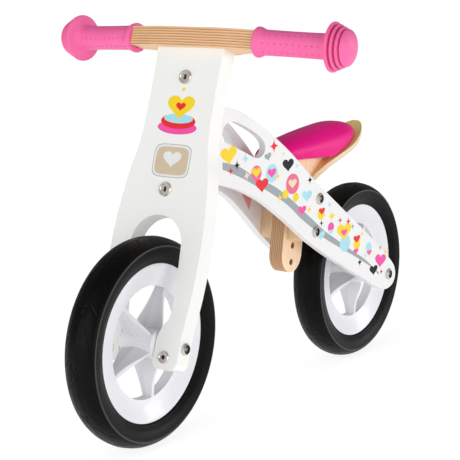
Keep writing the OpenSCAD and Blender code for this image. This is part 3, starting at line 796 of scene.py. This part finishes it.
def sticker_sheet(name, shapes, place, body, flip=False):
    """Flat film pieces: shapes are (outline, ink, height) in the plane's millimetres."""
    verts, faces, index = [], [], []
    used = sorted({s[1] for s in shapes})
    for outline, ink, height in shapes:
        pts = [Vector(p) for p in outline]
        area = sum(a.x * b.y - b.x * a.y for a, b in zip(pts, pts[1:] + pts[:1]))
        if area < 0:
            pts.reverse()
        base = len(verts)
        n = len(pts)
        for h in (0.012, height):
            verts.extend(place @ Vector((p.x * MM, p.y * MM, h * MM)) for p in pts)
        top = tuple(base + n + k for k in range(n))
        bottom = tuple(base + k for k in range(n - 1, -1, -1))
        rim = [(base + k, base + (k + 1) % n, base + n + (k + 1) % n, base + n + k)
               for k in range(n)]
        new = [top, bottom, *rim]
        faces.extend(f[::-1] for f in new) if flip else faces.extend(new)
        index.extend([used.index(ink)] * len(new))
    o = add_mesh(name, verts, faces, [inks[k] for k in used], body)
    o.data.polygons.foreach_set("material_index", index)
    o.data.polygons.foreach_set("use_smooth", [False] * len(o.data.polygons))
    return o


def moved(outline, x, y, turn=0.0):
    c, s = math.cos(math.radians(turn)), math.sin(math.radians(turn))
    return [(x + a * c - b * s, y + a * s + b * c) for a, b in outline]


# Band along the panel and the shapes on it: along the panel from the seat bolt, and height
BAND_TOP = [(-222, 387), (-206, 383), (-184, 376), (-162, 364), (-145, 355), (-103, 337),
            (-66, 314), (-41, 296), (-11, 274), (22, 250), (51, 233), (90, 210), (131, 187),
            (151, 172), (172, 157)]
BAND_LOW = [(-222, 376), (-206, 370), (-173, 356), (-149, 344), (-126, 335), (-91, 316), (-66, 300),
            (-41, 280), (-11, 260), (22, 238), (62, 217), (103, 196), (145, 173), (172, 153)]
DECOR = [
    ("heart", "yellow", -208, 395, 16, 6), ("star", "black", -190, 379, 9, 0),
    ("star", "red", -204, 372, 8, 0), ("heart", "red", -133, 342, 13, 0),
    ("star", "cream", -168, 361, 10, 10), ("star", "blue", -171, 387, 10, 0),
    ("star", "red", -105, 399, 13, 0), ("heart", "grey", -119, 384, 7, 12),
    ("heart", "black", -71, 366, 12, 0), ("star", "cream", -82, 385, 6, 0),
    ("star", "blue", -49, 363, 6, 0), ("heart", "blue", -24, 312, 11, 0),
    ("star", "black", -17, 337, 8, 0), ("star", "yellow", -91, 318, 9, 0),
    ("heart", "pink", -36, 291, 9, 0), ("star", "yellow", -18, 290, 7, 0),
    ("star", "blue", 34, 291, 7, 0), ("heart", "blue", 12, 244, 9, 0),
    ("heart", "pink", 175, 177, 14, -8), ("heart", "black", 156, 164, 10, 0),
    ("star", "black", 117, 184, 8, 0), ("star", "yellow", 190, 190, 7, 0),
    ("star", "red", 178, 158, 6, 0), ("star", "grey", 174, 200, 6, 0), ("star", "grey", 96, 247, 6, 0),
    ("star", "yellow", 122, 231, 6, 0), ("disc", "rose", -146, 362, 12, 0),
    ("heart", "yellow", -146, 363, 9, 0), ("disc", "blue", -110, 358, 14, 0),
    ("heart", "pink", -110, 358, 9, 0), ("star", "yellow", -96, 352, 8, 0),
    ("disc", "rose", -60, 336, 16, 0), ("heart", "cream", -60, 336, 9, 0),
    ("disc", "yellow", -77, 322, 7, 0), ("disc", "yellow", -52, 314, 7, 0),
    ("disc", "yellow", 12, 279, 9, 0), ("heart", "red", 14, 283, 7, 0),
    ("star", "black", 13, 264, 6, 0), ("disc", "pink", 38, 254, 8, 0),
    ("star", "yellow", 40, 272, 11, 0), ("heart", "blue", 38, 246, 5, 0),
    ("disc", "blue", 76, 222, 14, 0), ("heart", "yellow", 73, 241, 17, 0),
    ("heart", "pink", 73, 240, 7, 0), ("star", "red", 62, 262, 7, 0), ("star", "red", 84, 257, 8, 0),
    ("disc", "yellow", 108, 216, 9, 0), ("heart", "red", 108, 224, 8, 0),
    ("heart", "pink", 106, 204, 6, 0), ("disc", "blue", 141, 206, 8, 0),
    ("heart", "rose", 143, 196, 6, 0), ("star", "blue", 132, 193, 6, 0),
]


def panel_plane(x, sign):
    """Plane of a side panel's face: along the panel, up, and outwards by sign."""
    c, s = math.cos(SPLAY), math.sin(SPLAY)
    origin = Vector((0.053 + x * c, 0.091 - x * s, 0))
    along, out = Vector((s, c, 0)), Vector((c, -s, 0)) * sign
    m = Matrix.Identity(4)
    for k, v in enumerate((along, Vector((0, 0, 1)), out)):
        for r in range(3):
            m[r][k] = v[r]
    m.translation = origin
    return m


band = [tuple(p) for p in curve(BAND_TOP, 3)] + [tuple(p) for p in curve(BAND_LOW, 3)[::-1]]
sheets = [(band, "grey", 0.05)]
for k, (kind, ink, x, y, r, turn) in enumerate(DECOR):
    height = 0.10 + 0.02 * (k % 2) + (0.05 if kind != "disc" else 0)
    sheets.append((moved(SHAPES[kind](r), x, y, turn), ink, height))
outer = panel_plane(0, 1)
sticker_sheet("panel_stickers_left", sheets, outer, "frame")
sticker_sheet("panel_stickers_right", sheets, MIRROR @ outer, "frame", flip=True)
kite = [([(-69, 380), (-41, 330), (-65, 288), (-99, 328)], "salmon", 0.1)]
inner = panel_plane(-0.012, -1)
sticker_sheet("kite_sticker_left", kite, inner, "frame", flip=True)
sticker_sheet("kite_sticker_right", kite, MIRROR @ inner, "frame")

fork_face = FORK @ Matrix.Translation((0, -0.014, 0)) @ Matrix.Rotation(math.radians(90), 4, "X")


def plate(a, b):
    """Outline of a rounded plate, wider than high."""
    return [(a * math.copysign(abs(math.cos(w)) ** 0.4, math.cos(w)),
             b * math.copysign(abs(math.sin(w)) ** 0.4, math.sin(w)))
            for w in np.radians(np.arange(0, 360, 6))]


badge = [
    (moved(plate(32, 24), 2, 257), "grey", 0.04),
    (moved(plate(31, 23), 2, 257), "white", 0.07),
    (moved(plate(28, 20), 2, 257), "tan", 0.10),
    (moved(heart(14), 2, 259), "white", 0.13),
]
emblem = [
    (moved([(34 * a, 10 * b) for a, b in disc(1)], 1, 305), "pink", 0.05),
    (moved([(30 * a, 11 * b) for a, b in disc(1)], 1, 314), "red", 0.08),
    (moved([(25 * a, 7 * b) for a, b in disc(1)], 1, 318), "blue", 0.10),
    (moved(heart(21), 1, 334), "yellow", 0.13),
    (moved(heart(7.5), 1, 335), "red", 0.16),
    (moved(star(6), 1, 360), "yellow", 0.13),
]
sticker_sheet("fork_badge", badge, fork_face, "steering")
sticker_sheet("fork_emblem", emblem, fork_face, "steering")

# ---- Floor and light ----

floor = bpy.data.objects.new("floor", bpy.data.meshes.new("floor"))
floor.data.from_pydata([(-90, -90, 0), (90, -90, 0), (90, 90, 0), (-90, 90, 0)], [], [(0, 1, 2, 3)])
bpy.context.scene.collection.objects.link(floor)
paper = Shader("floor_paper", Specular_IOR_Level=0.05, Emission_Color=(1, 1, 1, 1),
               Emission_Strength=0.86)
paper.colour(paper.mix(paper.noise(paper.point(), 3.0, 2), (0.34, 0.34, 0.34), (0.36, 0.36, 0.36)))
paper.rough(paper.scale(paper.noise(paper.point(), 40.0, 2), 0.85, 0.95))
floor.data.materials.append(paper.m)

world = bpy.data.worlds.new("studio")
world.use_nodes = True
world.node_tree.nodes["Background"].inputs[0].default_value = (1.0, 1.0, 1.0, 1)
world.node_tree.nodes["Background"].inputs[1].default_value = 0.30
bpy.context.scene.world = world


def soft_light(name, towards, power, spread):
    """Even studio light that falls from the direction given, with soft shadows."""
    light = bpy.data.objects.new(name, bpy.data.lights.new(name, "SUN"))
    light.data.energy = power
    light.data.angle = math.radians(spread)
    light.rotation_euler = Vector(towards).to_track_quat("Z", "Y").to_euler()
    bpy.context.scene.collection.objects.link(light)


soft_light("key", (0.92, -0.30, 0.16), 1.0, 34)
soft_light("front", (-0.1, -0.9, 0.25), 1.2, 50)
soft_light("side", (0.66, 0.72, 0.05), 0.7, 14)

bpy.context.scene.view_settings.view_transform = "Standard"
bpy.context.scene.view_settings.look = "None"
